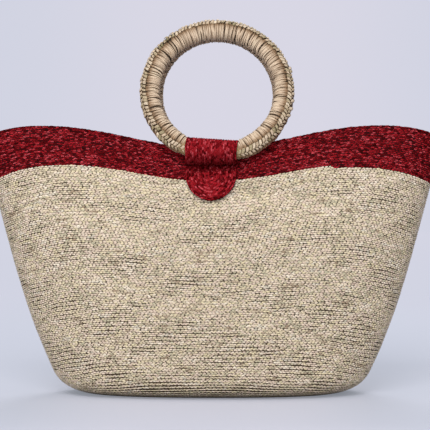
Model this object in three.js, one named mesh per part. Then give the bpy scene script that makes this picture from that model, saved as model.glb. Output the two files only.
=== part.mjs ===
// Straw bag: palm plait sewn row above row, a dyed band round the rim, and two covered ring handles.
// Millimetres, +Z up. The front faces -Y, and the origin is on the floor under the middle of the base.
import * as THREE from 'three';

// Gap between pieces that are sewn, laced or folded onto each other
const SEWN_GAP = 0.3;

// Base: the flat oval that the bag stands on
const BASE_HALF_LENGTH = 116;
const BASE_HALF_DEPTH = 44;
const BASE_THICKNESS = 4;

// Wall: outside sizes
const WALL_THICKNESS = 4;
const CORNER_HEIGHT = 25;
const FOOT_HALF_LENGTH = 171;
const FOOT_HALF_DEPTH = 75;
const RIM_HALF_LENGTH = 250;
const FLARE_RATIO = 0.025;
const END_BULGE = 0.52;
const SECTION_POWER = 2.4;

// Rim: its wave seen from the front, and how far the mouth is drawn in at the handles
const RIM_MID_HEIGHT = 263;
const RIM_PEAK_HEIGHT = 287;
const RIM_PEAK_PLACE = 173;
const RIM_END_HEIGHT = 272;
const RIM_MID_HALF_DEPTH = 32.5;
const PINCH_START_HEIGHT = 150;
const PINCH_SPREAD = 3;
const PINCH_FADE = 1.5;

// Dyed band, measured down along the wall
const BAND_HEIGHT = 46;

// Ring handles
const RING_RADIUS = 71;
const RING_TUBE_RADIUS = 11.1;
const RING_COVER_THICKNESS = 1.8;
const RING_SHIFT = 6;
const SLIT_HALF_ANGLE = THREE.MathUtils.degToRad(30);
const SLIT_TURN = THREE.MathUtils.degToRad(42);
const LACING_RISE = 1;
const RING_REST_GAP = 0.6;
const FOLD_ANGLE = THREE.MathUtils.degToRad(160);

// Tabs: the folded strips that hold the rings on the band
const TAB_WIDTH = 53;
const TAB_THICKNESS = 2.2;
const TAB_AXIS_BELOW_RIM = 7;
const TAB_DROP = 18;
const TAB_ROUND = 30;
const TAB_TIP_SHARE = 0.17;
const TAB_EDGE_THICKNESS = 0.8;
const UNDER_PLY_INSET = 2;

// How finely the curved pieces are divided
const WALL_COLUMNS = 64;
const CORNER_STEPS = 4;
const WALL_STEPS = 8;
const BAND_STEPS = 4;
const MARCH_STEP = 0.5;
const LIFT_STEP = 0.1;
const RING_SEGMENTS = 36;
const COVER_STEPS = 10;
const LACING_STEPS = 4;
const LOOP_STEPS = 12;
const PLY_ROWS = 14;
const PLY_COLUMNS = 6;

// Small step that finds the slope of a curved face
const PROBE = 0.001;

// Materials
const naturalPalm = new THREE.MeshStandardMaterial({ color: 0xcdbd9c, roughness: 0.85, metalness: 0 });
const dyedPalm = new THREE.MeshStandardMaterial({ color: 0x8a1420, roughness: 0.8, metalness: 0 });
const handlePalm = new THREE.MeshStandardMaterial({ color: 0xd3c4a2, roughness: 0.8, metalness: 0 });
const lacingPalm = new THREE.MeshStandardMaterial({ color: 0xbfb489, roughness: 0.8, metalness: 0 });
const coreCane = new THREE.MeshStandardMaterial({ color: 0xa98a5c, roughness: 0.7, metalness: 0 });

function meshOf(name, geometry, material) {
  const mesh = new THREE.Mesh(geometry, material);
  mesh.name = name;
  return mesh;
}

// A closed solid from loops of points. Each loop is an outer run followed by its inner run backwards.
// A closed sweep joins the last loop to the first, and an open one has both ends filled.
function sweep(loops, closed) {
  const size = loops[0].length;
  const positions = loops.flat().flatMap((point) => point.toArray());
  const triangles = [];
  const spans = closed ? loops.length : loops.length - 1;
  for (let i = 0; i < spans; i += 1) {
    const here = i * size;
    const next = ((i + 1) % loops.length) * size;
    for (let j = 0; j < size; j += 1) {
      const k = (j + 1) % size;
      triangles.push(here + j, next + j, next + k);
      triangles.push(here + j, next + k, here + k);
    }
  }
  if (!closed) {
    const last = (loops.length - 1) * size;
    for (let j = 0; j < size / 2 - 1; j += 1) {
      const a = j;
      const b = j + 1;
      const c = size - 2 - j;
      const d = size - 1 - j;
      triangles.push(a, b, c, a, c, d);
      triangles.push(last + a, last + c, last + b, last + a, last + d, last + c);
    }
  }
  const geometry = new THREE.BufferGeometry();
  geometry.setAttribute('position', new THREE.Float32BufferAttribute(positions, 3));
  geometry.setIndex(triangles);
  geometry.computeVertexNormals();
  return geometry;
}

// Rim height at a distance from the middle: low between the handles, highest at the quarters
function rimHeight(distance) {
  if (distance < RIM_PEAK_PLACE) {
    const rise = (1 - Math.cos((Math.PI * distance) / RIM_PEAK_PLACE)) / 2;
    return RIM_MID_HEIGHT + (RIM_PEAK_HEIGHT - RIM_MID_HEIGHT) * rise;
  }
  const fall = (distance - RIM_PEAK_PLACE) / (RIM_HALF_LENGTH - RIM_PEAK_PLACE);
  return RIM_PEAK_HEIGHT - (RIM_PEAK_HEIGHT - RIM_END_HEIGHT) * fall ** 2;
}

// Half-length of the bag at a height above the rounded corner
function halfLength(z) {
  const rise = (z - CORNER_HEIGHT) / (RIM_END_HEIGHT - CORNER_HEIGHT);
  const bulge = END_BULGE * rise * (1 - rise) ** 2;
  return FOOT_HALF_LENGTH + (RIM_HALF_LENGTH - FOOT_HALF_LENGTH) * (rise + bulge);
}

// Half-depth of the bag at a height, before the mouth is drawn in
function halfDepth(z) {
  return FOOT_HALF_DEPTH + FLARE_RATIO * (z - CORNER_HEIGHT);
}

// How far the wall is drawn in at a share of its half-length and a height
function pinchAt(share, z) {
  const lift = (z - PINCH_START_HEIGHT) / (rimHeight(share * RIM_HALF_LENGTH) - PINCH_START_HEIGHT);
  const most = halfDepth(RIM_MID_HEIGHT) - RIM_MID_HALF_DEPTH;
  const fade = (1 - Math.min(1, share) ** PINCH_SPREAD) ** PINCH_FADE;
  return most * fade * Math.max(0, lift) ** 2;
}

// Outside of the wall: its half-depth at a distance from the middle and a height
function faceDepth(x, z) {
  const share = Math.abs(x) / halfLength(z);
  const across = (1 - share ** SECTION_POWER) ** (1 / SECTION_POWER);
  return across * halfDepth(z) - pinchAt(share, z);
}

// A size along the rounded corner, from the floor to the foot of the wall, smooth at both ends
function cornerSize(base, foot, slope, t) {
  const knee = foot - slope * CORNER_HEIGHT;
  return base * (1 - t) ** 2 + 2 * knee * t * (1 - t) + foot * t ** 2;
}

// Outside of the bag. Level 0 to 1 is the rounded corner, and 1 to 2 the wall up to the rim.
function bagPoint(angle, level) {
  const c = Math.cos(angle);
  const s = Math.sin(angle);
  const along = Math.sign(c) * Math.abs(c) ** (2 / SECTION_POWER);
  const across = Math.sign(s) * Math.abs(s) ** (2 / SECTION_POWER);
  if (level < 1) {
    const lengthSlope = ((RIM_HALF_LENGTH - FOOT_HALF_LENGTH) * (1 + END_BULGE))
      / (RIM_END_HEIGHT - CORNER_HEIGHT);
    const length = cornerSize(BASE_HALF_LENGTH, FOOT_HALF_LENGTH, lengthSlope, level);
    const depth = cornerSize(BASE_HALF_DEPTH, FOOT_HALF_DEPTH, FLARE_RATIO, level);
    return new THREE.Vector3(along * length, across * depth, CORNER_HEIGHT * level ** 2);
  }
  const share = Math.abs(along);
  const top = rimHeight(share * RIM_HALF_LENGTH);
  const z = CORNER_HEIGHT + (top - CORNER_HEIGHT) * (level - 1);
  const y = across * halfDepth(z) - Math.sign(s) * pinchAt(share, z);
  return new THREE.Vector3(along * halfLength(z), y, z);
}

// The point of the inner face behind a point of the outside
function lining(angle, level) {
  const round = bagPoint(angle + PROBE, level).sub(bagPoint(angle - PROBE, level));
  const up = bagPoint(angle, level + PROBE).sub(bagPoint(angle, Math.max(0, level - PROBE)));
  const inward = up.cross(round).normalize();
  return bagPoint(angle, level).addScaledVector(inward, WALL_THICKNESS);
}

// Wall level at a distance below the rim, measured along the outside
function levelBelowRim(angle, distance) {
  const stride = MARCH_STEP / RIM_END_HEIGHT;
  let level = 2;
  let left = distance;
  while (left > 0) {
    const length = bagPoint(angle, level).distanceTo(bagPoint(angle, level - stride));
    level -= stride * Math.min(1, left / length);
    left -= length;
  }
  return level;
}

// One course of the wall. levelsAt gives the levels of a column, from low to high.
function course(levelsAt) {
  const loops = [];
  for (let i = 0; i < WALL_COLUMNS; i += 1) {
    const angle = (2 * Math.PI * i) / WALL_COLUMNS;
    const levels = levelsAt(angle);
    const outer = levels.map((level) => bagPoint(angle, level));
    const inner = levels.map((level) => lining(angle, level));
    loops.push([...outer, ...inner.reverse()]);
  }
  return sweep(loops, true);
}

// Even steps from one value to another, both included
function spread(from, to, steps) {
  return Array.from({ length: steps + 1 }, (_, i) => from + ((to - from) * i) / steps);
}

function bodyWall() {
  const geometry = course((angle) => {
    const top = levelBelowRim(angle, BAND_HEIGHT + SEWN_GAP);
    return [...spread(0, 1, CORNER_STEPS).slice(0, -1), ...spread(1, top, WALL_STEPS)];
  });
  return meshOf('body_wall', geometry, naturalPalm);
}

function rimBand() {
  const geometry = course((angle) => spread(levelBelowRim(angle, BAND_HEIGHT), 2, BAND_STEPS));
  return meshOf('rim_band', geometry, dyedPalm);
}

// The base fills the foot of the wall, less the sewn gap
function basePanel() {
  const points = [];
  for (let i = 0; i < WALL_COLUMNS; i += 1) {
    const angle = (2 * Math.PI * i) / WALL_COLUMNS;
    const round = bagPoint(angle + PROBE, 0).sub(bagPoint(angle - PROBE, 0)).normalize();
    const edge = bagPoint(angle, 0);
    points.push(new THREE.Vector2(edge.x - SEWN_GAP * round.y, edge.y + SEWN_GAP * round.x));
  }
  const options = { depth: BASE_THICKNESS, bevelEnabled: false };
  return meshOf('base_panel', new THREE.ExtrudeGeometry(new THREE.Shape(points), options), naturalPalm);
}

// Tab loop: it wraps the ring's tube and its lacing, and turns on the wall round the tab's axis
const loopInner = RING_TUBE_RADIUS + LACING_RISE + SEWN_GAP;
const loopOuter = loopInner + TAB_THICKNESS;
const axisReach = loopOuter + SEWN_GAP;
const axisHeight = RIM_MID_HEIGHT - TAB_AXIS_BELOW_RIM;

// The tab's axis stands off the wall by the loop's radius: the farthest that any height asks for
function findSeat() {
  const seat = { axisDepth: 0, wallHeight: 0 };
  for (let z = axisHeight - axisReach + MARCH_STEP; z < axisHeight; z += MARCH_STEP) {
    const off = Math.sqrt(axisReach ** 2 - (axisHeight - z) ** 2);
    const depth = Math.max(faceDepth(0, z), faceDepth(TAB_WIDTH / 2, z)) + off;
    if (depth > seat.axisDepth) {
      seat.axisDepth = depth;
      seat.wallHeight = z;
    }
  }
  return seat;
}
const seat = findSeat();

// Each ring leans inward until its top rests against the other one over the middle of the bag
const ringReach = RING_TUBE_RADIUS + RING_REST_GAP / 2;
const ringLean = Math.asin((seat.axisDepth - ringReach) / (2 * RING_RADIUS));

// Height on the middle of the wall after sliding down along it by a distance
function slideDown(fromZ, distance) {
  let z = fromZ;
  let left = distance;
  while (left > 0) {
    const length = Math.hypot(MARCH_STEP, faceDepth(0, z) - faceDepth(0, z - MARCH_STEP));
    z -= MARCH_STEP * Math.min(1, left / length);
    left -= length;
  }
  return z;
}

// A point over the front wall, lifted off its outside
function frontPoint(x, z, lift) {
  const depth = faceDepth(x, z);
  const sideways = (faceDepth(x + PROBE, z) - faceDepth(x - PROBE, z)) / (2 * PROBE);
  const upward = (faceDepth(x, z + PROBE) - faceDepth(x, z - PROBE)) / (2 * PROBE);
  const outward = new THREE.Vector3(-sideways, -1, -upward).normalize();
  return new THREE.Vector3(x, -depth, z).addScaledVector(outward, lift);
}

// Height of the loop's crown over the axis, so that its straight top edge clears the ring's inner edge
function crownAt(x, ringShift) {
  const [left, right] = [-TAB_WIDTH / 2, TAB_WIDTH / 2].map((end) => {
    const inner = RING_RADIUS - RING_TUBE_RADIUS;
    return RING_RADIUS - Math.sqrt(inner ** 2 - (end - ringShift) ** 2);
  });
  return left + (right - left) * (x / TAB_WIDTH + 0.5) + SEWN_GAP - loopInner;
}

// Reach of the loop from its axis, at an angle from the direction of its crown
function loopReach(x, ringShift, angle) {
  const crown = crownAt(x, ringShift);
  if (Math.cos(angle) <= 0) {
    return loopOuter;
  }
  const side = loopOuter / Math.abs(Math.sin(angle));
  if (side * Math.cos(angle) <= crown) {
    return side;
  }
  return crown * Math.cos(angle) + Math.sqrt(loopOuter ** 2 - (crown * Math.sin(angle)) ** 2);
}

// How far a ply may stand off the wall and still clear the loop, at rest and folded right out
function freeLift(x, z, most, ringShift) {
  for (let lift = most; lift > 0; lift -= LIFT_STEP) {
    const place = frontPoint(x, z, lift);
    const y = place.y + seat.axisDepth;
    const height = place.z - axisHeight;
    const turn = Math.atan2(y, height);
    const reaches = [ringLean, ringLean - FOLD_ANGLE].map((crown) => loopReach(x, ringShift, turn - crown));
    if (Math.hypot(y, height) >= Math.max(...reaches) + SEWN_GAP) {
      return lift;
    }
  }
  return 0;
}

// One ply of the tab on the front wall, round at the bottom. Its top edge thins out under the loop.
function tabPly(name, lift, inset, ringShift) {
  const most = lift + TAB_THICKNESS;
  const halfWidth = TAB_WIDTH / 2 - inset;
  const bottom = TAB_DROP + TAB_ROUND - inset;
  const halfWidthAt = (down) => {
    const share = Math.max(0, down - TAB_DROP) / (bottom - TAB_DROP);
    return halfWidth * Math.max(TAB_TIP_SHARE, Math.sqrt(1 - share ** 2));
  };
  const heightAt = (down) => slideDown(seat.wallHeight, down);
  const starts = spread(-1, 1, PLY_COLUMNS).map((share) => {
    let start = 0;
    while (freeLift(share * halfWidth, heightAt(start), most, ringShift) < lift + TAB_EDGE_THICKNESS) {
      start += MARCH_STEP;
    }
    return { share, start };
  });
  const loops = [];
  for (let i = 0; i <= PLY_ROWS; i += 1) {
    const gone = (1 - Math.cos((Math.PI * i) / PLY_ROWS)) / 2;
    const places = starts.map(({ share, start }) => {
      const down = start + (bottom - start) * gone;
      return { x: share * halfWidthAt(down), z: heightAt(down) };
    });
    const outer = places.map(({ x, z }) => frontPoint(x, z, freeLift(x, z, most, ringShift)));
    const inner = places.map(({ x, z }) => frontPoint(x, z, lift));
    loops.push([...outer, ...inner.reverse()]);
  }
  return meshOf(name, sweep(loops, false), dyedPalm);
}

// Tab loop in the ring's own frame: round below the tube, straight along its top edge
function tabLoop(name, ringShift) {
  const ends = [-TAB_WIDTH / 2, TAB_WIDTH / 2];
  const pointAt = (x, radius, turn, upper) => {
    const crown = upper ? crownAt(x, ringShift) : 0;
    return new THREE.Vector3(x, radius * Math.cos(turn), radius * Math.sin(turn) + crown);
  };
  const turns = [
    ...spread(0, Math.PI, LOOP_STEPS).map((turn) => ({ turn, upper: true })),
    ...spread(Math.PI, 2 * Math.PI, LOOP_STEPS).map((turn) => ({ turn, upper: false })),
  ];
  const loops = turns.map(({ turn, upper }) => [
    pointAt(ends[0], loopOuter, turn, upper),
    pointAt(ends[1], loopOuter, turn, upper),
    pointAt(ends[1], loopInner, turn, upper),
    pointAt(ends[0], loopInner, turn, upper),
  ]);
  return meshOf(name, sweep(loops, true), dyedPalm);
}

// A point of the ring's section. The angle is measured from the middle of the slit in the cover,
// which lies on the ring's outer edge, turned towards the outside of the bag.
function sectionPoint(radius, angle) {
  const turned = angle - SLIT_TURN;
  return new THREE.Vector2(RING_RADIUS + radius * Math.cos(turned), radius * Math.sin(turned));
}

function ringPiece(name, profile, material) {
  return meshOf(name, new THREE.LatheGeometry([...profile, profile[0]], RING_SEGMENTS), material);
}

const bedRadius = RING_TUBE_RADIUS - RING_COVER_THICKNESS;
const coverAngles = spread(SLIT_HALF_ANGLE, 2 * Math.PI - SLIT_HALF_ANGLE, COVER_STEPS);

// The ring's stiff core
function ringCore(name) {
  const profile = [0, ...coverAngles].map((angle) => sectionPoint(bedRadius - SEWN_GAP, angle));
  return ringPiece(name, profile, coreCane);
}

// The palm cover, wound crosswise and open along the slit
function ringCover(name) {
  const outer = coverAngles.map((angle) => sectionPoint(RING_TUBE_RADIUS, angle));
  const inner = coverAngles.map((angle) => sectionPoint(bedRadius, angle));
  return ringPiece(name, [...outer, ...inner.reverse()], handlePalm);
}

// The knotted lacing that closes the slit
function ringLacing(name) {
  const edge = SLIT_HALF_ANGLE - SEWN_GAP / bedRadius;
  const angles = spread(-edge, edge, LACING_STEPS);
  const outer = angles.map((angle) => sectionPoint(RING_TUBE_RADIUS + LACING_RISE, angle));
  const inner = angles.map((angle) => sectionPoint(bedRadius, angle));
  return ringPiece(name, [...outer, ...inner.reverse()], lacingPalm);
}

// One handle with its tab, on the front. The other side is the same, turned half a turn.
function handleSide(side, ringShift) {
  const ring = new THREE.Group();
  ring.position.set(ringShift, 0, RING_RADIUS);
  ring.add(ringCore(`${side}_ring_core`), ringCover(`${side}_ring_cover`), ringLacing(`${side}_ring_lacing`));

  const handle = new THREE.Group();
  handle.position.set(0, -seat.axisDepth, axisHeight);
  handle.rotation.x = -ringLean;
  handle.add(ring, tabLoop(`${side}_tab_loop`, ringShift));

  const group = new THREE.Group();
  group.add(tabPly(`${side}_tab_under_ply`, SEWN_GAP, UNDER_PLY_INSET, ringShift));
  group.add(tabPly(`${side}_tab_outer_ply`, 2 * SEWN_GAP + TAB_THICKNESS, 0, ringShift));
  group.add(handle);
  return group;
}

const strawBag = new THREE.Group();
strawBag.name = 'straw_bag';
strawBag.add(basePanel(), bodyWall(), rimBand());

const frontSide = handleSide('front', RING_SHIFT);
const backSide = handleSide('back', -RING_SHIFT);
backSide.rotation.z = Math.PI;
strawBag.add(frontSide, backSide);

export default strawBag;
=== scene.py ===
"""Straw bag: rows of fine palm plait sewn one above another, a dyed band round the rim, and two ring
handles wound crosswise with palm and closed with a knotted lacing. Metres, +Z up, the front faces -Y.
"""
import math

import bpy
import numpy as np
from mathutils import Matrix, Vector


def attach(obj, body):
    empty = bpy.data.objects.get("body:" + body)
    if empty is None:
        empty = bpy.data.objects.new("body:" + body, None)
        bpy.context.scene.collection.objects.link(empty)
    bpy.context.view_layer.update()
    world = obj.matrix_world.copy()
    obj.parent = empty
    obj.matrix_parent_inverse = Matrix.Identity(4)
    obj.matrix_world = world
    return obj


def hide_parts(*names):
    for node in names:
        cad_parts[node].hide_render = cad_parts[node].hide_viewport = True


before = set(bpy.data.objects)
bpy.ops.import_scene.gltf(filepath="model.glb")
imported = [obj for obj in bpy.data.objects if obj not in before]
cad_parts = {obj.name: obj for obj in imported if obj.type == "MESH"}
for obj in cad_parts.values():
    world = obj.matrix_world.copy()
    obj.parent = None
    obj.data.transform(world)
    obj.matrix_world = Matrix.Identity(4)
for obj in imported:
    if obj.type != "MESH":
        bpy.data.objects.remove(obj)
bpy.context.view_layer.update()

# Sizes of the solids
SEWN_GAP = 0.0003
BASE_HALF_LENGTH = 0.116
BASE_HALF_DEPTH = 0.044
WALL_THICKNESS = 0.004
CORNER_HEIGHT = 0.025
FOOT_HALF_LENGTH = 0.171
FOOT_HALF_DEPTH = 0.075
RIM_HALF_LENGTH = 0.250
FLARE_RATIO = 0.025
END_BULGE = 0.52
SECTION_POWER = 2.4
RIM_MID_HEIGHT = 0.263
RIM_PEAK_HEIGHT = 0.287
RIM_PEAK_PLACE = 0.173
RIM_END_HEIGHT = 0.272
RIM_MID_HALF_DEPTH = 0.0325
PINCH_START_HEIGHT = 0.150
PINCH_SPREAD = 3
PINCH_FADE = 1.5
BAND_HEIGHT = 0.046
BAND_END_DROP = 0.004
RING_RADIUS = 0.071
RING_TUBE_RADIUS = 0.0111
RING_SHIFT = 0.006
SLIT_TURN = math.radians(42)
LACING_RISE = 0.001
RING_REST_GAP = 0.0006
TAB_WIDTH = 0.053
TAB_THICKNESS = 0.0022
TAB_AXIS_BELOW_RIM = 0.007
TAB_DROP = 0.018
TAB_ROUND = 0.030

# Plait: how it is sewn
WALL_ROWS = 69
BAND_ROWS = 13
ROW_HEIGHT = BAND_HEIGHT / BAND_ROWS
BASE_ROWS = 12.3
STRAND_PITCH = 0.0038
DYED_PITCH = 0.0036
BAND_PITCH = 0.0037
LINING_PITCH = 0.006
DYE_START = 0.126
PLAIT_SINK = 0.0003
SHELL_DEPTH = 0.0012
PATH_STEPS = 240

# Handles: wraps of the cover and stitches of the lacing
WRAP_COUNT = 290
STITCH_PITCH = 0.0042
LACING_WIDTH = 0.0105
STITCH_RISE = 0.0003
SQUEEZE = 0.17
SQUEEZE_FADE = 0.008


# Shape of the bag, as the solids have it

def rim_height(distance):
    """Height of the rim at a distance from the middle."""
    rise = (1 - np.cos(np.pi * distance / RIM_PEAK_PLACE)) / 2
    inner = RIM_MID_HEIGHT + (RIM_PEAK_HEIGHT - RIM_MID_HEIGHT) * rise
    fall = (distance - RIM_PEAK_PLACE) / (RIM_HALF_LENGTH - RIM_PEAK_PLACE)
    outer = RIM_PEAK_HEIGHT - (RIM_PEAK_HEIGHT - RIM_END_HEIGHT) * fall ** 2
    return np.where(distance < RIM_PEAK_PLACE, inner, outer)


def half_length(z):
    rise = (z - CORNER_HEIGHT) / (RIM_END_HEIGHT - CORNER_HEIGHT)
    bulge = END_BULGE * rise * (1 - rise) ** 2
    return FOOT_HALF_LENGTH + (RIM_HALF_LENGTH - FOOT_HALF_LENGTH) * (rise + bulge)


def half_depth(z):
    return FOOT_HALF_DEPTH + FLARE_RATIO * (z - CORNER_HEIGHT)


def pinch(share, z):
    """How far the wall is drawn in by the handles."""
    lift = (z - PINCH_START_HEIGHT) / (rim_height(share * RIM_HALF_LENGTH) - PINCH_START_HEIGHT)
    most = half_depth(RIM_MID_HEIGHT) - RIM_MID_HALF_DEPTH
    fade = (1 - np.minimum(1, share) ** PINCH_SPREAD) ** PINCH_FADE
    return most * fade * np.maximum(0, lift) ** 2


def face_depth(x, z):
    """Half-depth of the outside at a distance from the middle and a height."""
    share = np.abs(x) / half_length(z)
    return (1 - share ** SECTION_POWER) ** (1 / SECTION_POWER) * half_depth(z) - pinch(share, z)


def corner_size(base, foot, slope, t):
    """Half-size in the rounded corner, from the base at t 0 to the foot of the wall at t 1."""
    knee = foot - slope * CORNER_HEIGHT
    return base * (1 - t) ** 2 + 2 * knee * t * (1 - t) + foot * t ** 2


def oval(angle):
    """The section's superellipse: where an angle lies along the length and the depth, from -1 to 1."""
    c, s = np.cos(angle), np.sin(angle)
    power = 2 / SECTION_POWER
    return np.sign(c) * np.abs(c) ** power, np.sign(s) * np.abs(s) ** power


def wall_points(angle, level):
    """Outside of the bag. Level 0 to 1 is the rounded corner, and 1 to 2 the wall up to the rim."""
    along, across = oval(angle)
    slope = (RIM_HALF_LENGTH - FOOT_HALF_LENGTH) * (1 + END_BULGE) / (RIM_END_HEIGHT - CORNER_HEIGHT)
    turn = np.clip(level, 0, 1)
    corner = (along * corner_size(BASE_HALF_LENGTH, FOOT_HALF_LENGTH, slope, turn),
              across * corner_size(BASE_HALF_DEPTH, FOOT_HALF_DEPTH, FLARE_RATIO, turn),
              CORNER_HEIGHT * turn ** 2)
    share = np.abs(along)
    top = rim_height(share * RIM_HALF_LENGTH)
    z = CORNER_HEIGHT + (top - CORNER_HEIGHT) * np.maximum(0, level - 1)
    wall = (along * half_length(z), across * half_depth(z) - np.sign(across) * pinch(share, z), z)
    return np.where(level[:, None] < 1, np.stack(corner, 1), np.stack(wall, 1))


# Rows of plait: row 0 starts at the edge of the base, WALL_ROWS at the band and ALL_ROWS at the rim
ALL_ROWS = WALL_ROWS + BAND_ROWS
TABLE_ANGLES = 512
TABLE_LEVELS = 800
ROW_PARTS = 4
TABLE_END = 1e-6
ROW_PROBE = 0.25
ANGLE_PROBE = 0.002


def make_row_table():
    """The wall's level at each angle for every quarter of a row, with rows of one height at each angle."""
    levels = np.linspace(0, 2, TABLE_LEVELS)
    rows = np.arange(ALL_ROWS * ROW_PARTS + 1) / ROW_PARTS
    table = []
    for angle in np.linspace(0, 2 * math.pi, TABLE_ANGLES, endpoint=False):
        band = BAND_HEIGHT + BAND_END_DROP * abs(math.cos(angle))
        points = wall_points(np.full(TABLE_LEVELS, angle), levels)
        steps = np.linalg.norm(np.diff(points, axis=0), axis=1)
        climbed = np.concatenate([[0], np.cumsum(steps)])
        band_start = climbed[-1] - band
        heights = np.where(rows < WALL_ROWS, band_start * rows / WALL_ROWS,
                           band_start + band / BAND_ROWS * (rows - WALL_ROWS))
        table.append(np.interp(heights, climbed, levels))
    return np.array(table)


row_table = make_row_table()


def level_of(angle, row):
    """Reads the row table between its entries."""
    a = angle / (2 * math.pi) * TABLE_ANGLES
    r = np.clip(row, 0, ALL_ROWS - TABLE_END) * ROW_PARTS
    a0, r0 = np.floor(a).astype(int), np.floor(r).astype(int)
    fa, fr = a - a0, r - r0
    low, high = a0 % TABLE_ANGLES, (a0 + 1) % TABLE_ANGLES
    lower = row_table[low, r0] * (1 - fa) + row_table[high, r0] * fa
    upper = row_table[low, r0 + 1] * (1 - fa) + row_table[high, r0 + 1] * fa
    return lower * (1 - fr) + upper * fr


def bag_points(angle, row):
    """Outside of the bag at a row. Rows below 0 lie in the base, and count inwards from its edge."""
    along, across = oval(angle)
    inset = np.minimum(0, row) * ROW_HEIGHT
    base = np.stack([along * (BASE_HALF_LENGTH + inset), across * (BASE_HALF_DEPTH + inset), 0 * along], 1)
    return np.where(row[:, None] < 0, base, wall_points(angle, level_of(angle, row)))


def unit(vectors):
    return vectors / np.linalg.norm(vectors, axis=1, keepdims=True)


def bag_frame(angle, row):
    """Points on the outside with their outward and upward directions."""
    higher = np.minimum(row + ROW_PROBE, ALL_ROWS)
    around = bag_points(angle + ANGLE_PROBE, row) - bag_points(angle - ANGLE_PROBE, row)
    upward = unit(bag_points(angle, higher) - bag_points(angle, higher - 2 * ROW_PROBE))
    outward = unit(np.cross(around, upward))
    return bag_points(angle, row), outward, upward


# Seat of the handles on the wall, as the solids have it
LOOP_INNER = RING_TUBE_RADIUS + LACING_RISE + SEWN_GAP
LOOP_OUTER = LOOP_INNER + TAB_THICKNESS
AXIS_HEIGHT = RIM_MID_HEIGHT - TAB_AXIS_BELOW_RIM
SEAT_STEP = 0.0005


def find_seat():
    """Depth of the tab's axis, and the height where its loop touches the wall."""
    reach = LOOP_OUTER + SEWN_GAP
    z = np.arange(AXIS_HEIGHT - reach + SEAT_STEP, AXIS_HEIGHT, SEAT_STEP)
    depth = np.maximum(face_depth(0, z), face_depth(TAB_WIDTH / 2, z))
    depth = depth + np.sqrt(reach ** 2 - (AXIS_HEIGHT - z) ** 2)
    best = int(np.argmax(depth))
    return depth[best], z[best]


axis_depth, seat_height = find_seat()
ring_lean = math.asin((axis_depth - RING_TUBE_RADIUS - RING_REST_GAP / 2) / (2 * RING_RADIUS))


# Node trees

class Value:
    """A socket's value. Arithmetic on it adds Math nodes to its tree."""

    def __init__(self, maker, socket):
        self.maker = maker
        self.socket = socket

    def out(self, name):
        """Another output of the same node."""
        return Value(self.maker, self.socket.node.outputs[name])

    def math(self, operation, *inputs):
        return self.maker.add("ShaderNodeMath", {"operation": operation}, *inputs)

    def __add__(self, other):
        return self.math("ADD", self, other)

    __radd__ = __add__

    def __mul__(self, other):
        return self.math("MULTIPLY", self, other)

    __rmul__ = __mul__

    def __sub__(self, other):
        return self.math("SUBTRACT", self, other)

    def __rsub__(self, other):
        return self.math("SUBTRACT", other, self)

    def __truediv__(self, other):
        return self.math("DIVIDE", self, other)

    def __pow__(self, other):
        return self.math("POWER", self, other)

    def __abs__(self):
        return self.math("ABSOLUTE", self)

    def __mod__(self, other):
        return self.math("FLOORED_MODULO", self, other)

    def floor(self):
        return self.math("FLOOR", self)

    def sin(self):
        return self.math("SINE", self)

    def cos(self):
        return self.math("COSINE", self)

    def between(self, low, high):
        """0 below low and 1 above high, smooth between."""
        return self.maker.add("ShaderNodeMapRange", {"interpolation_type": "SMOOTHSTEP"}, self, low, high)

    def below(self, other):
        return self.math("LESS_THAN", self, other)


class Maker:
    """Adds nodes to one tree."""

    def __init__(self, tree):
        self.tree = tree

    def add(self, kind, settings, *inputs, **named):
        """A node's first output. Its settings are set first, then its sockets by order or by name."""
        node = self.tree.nodes.new(kind)
        for key, value in settings.items():
            if key == "stops":
                self.set_stops(node.color_ramp, value)
            else:
                setattr(node, key, value)
        sockets = [s for s in node.inputs if s.enabled]
        for socket, value in zip(sockets, inputs):
            self.feed(socket, value)
        for key, value in named.items():
            label = key.replace("_", " ")
            self.feed(next(s for s in sockets if s.name == label), value)
        outputs = [s for s in node.outputs if s.enabled]
        return Value(self, outputs[0]) if outputs else None

    def feed(self, socket, value):
        if isinstance(value, Value):
            self.tree.links.new(value.socket, socket)
        elif socket.type == "RGBA":
            socket.default_value = (*value[:3], 1)
        else:
            socket.default_value = value

    def set_stops(self, ramp, stops):
        while len(ramp.elements) < len(stops):
            ramp.elements.new(1)
        for element, (place, colour) in zip(ramp.elements, stops):
            element.position = place
            element.color = (*colour, 1)

    def xyz(self, x, y, z):
        return self.add("ShaderNodeCombineXYZ", {}, x, y, z)

    def vector(self, operation, *inputs):
        return self.add("ShaderNodeVectorMath", {"operation": operation}, *inputs)

    def mix(self, factor, a, b, blend="MIX"):
        """Mixes two colours."""
        settings = {"data_type": "RGBA", "blend_type": blend}
        return self.add("ShaderNodeMix", settings, Factor=factor, A=a, B=b)

    def stored(self, name, kind="FLOAT"):
        """An attribute that the geometry carries."""
        return self.add("GeometryNodeInputNamedAttribute", {"data_type": kind}, name)

    def store(self, geometry, name, value, domain, kind="FLOAT"):
        """The geometry with a value stored on it as an attribute."""
        settings = {"data_type": kind, "domain": domain}
        return self.add("GeometryNodeStoreNamedAttribute", settings, geometry, True, name, value)

    def random(self, seed, low=0, high=1):
        return self.add("FunctionNodeRandomValue", {"data_type": "FLOAT"}, Min=low, Max=high, Seed=seed)


# Trees of what repeats: the strands of the plait and the wraps of the ring cover

CELL_SHARE = 0.8
CELL_EDGE = 0.1
PILLOW_POWER = 2.4
WRAP_CUTS = (4, 17)
WRAP_END_POWER = 12
NARROWING = 0.5


def cells_for(count):
    """Cells along one side of a square map that holds this many strands."""
    return float(math.ceil(math.sqrt(count)))


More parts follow.
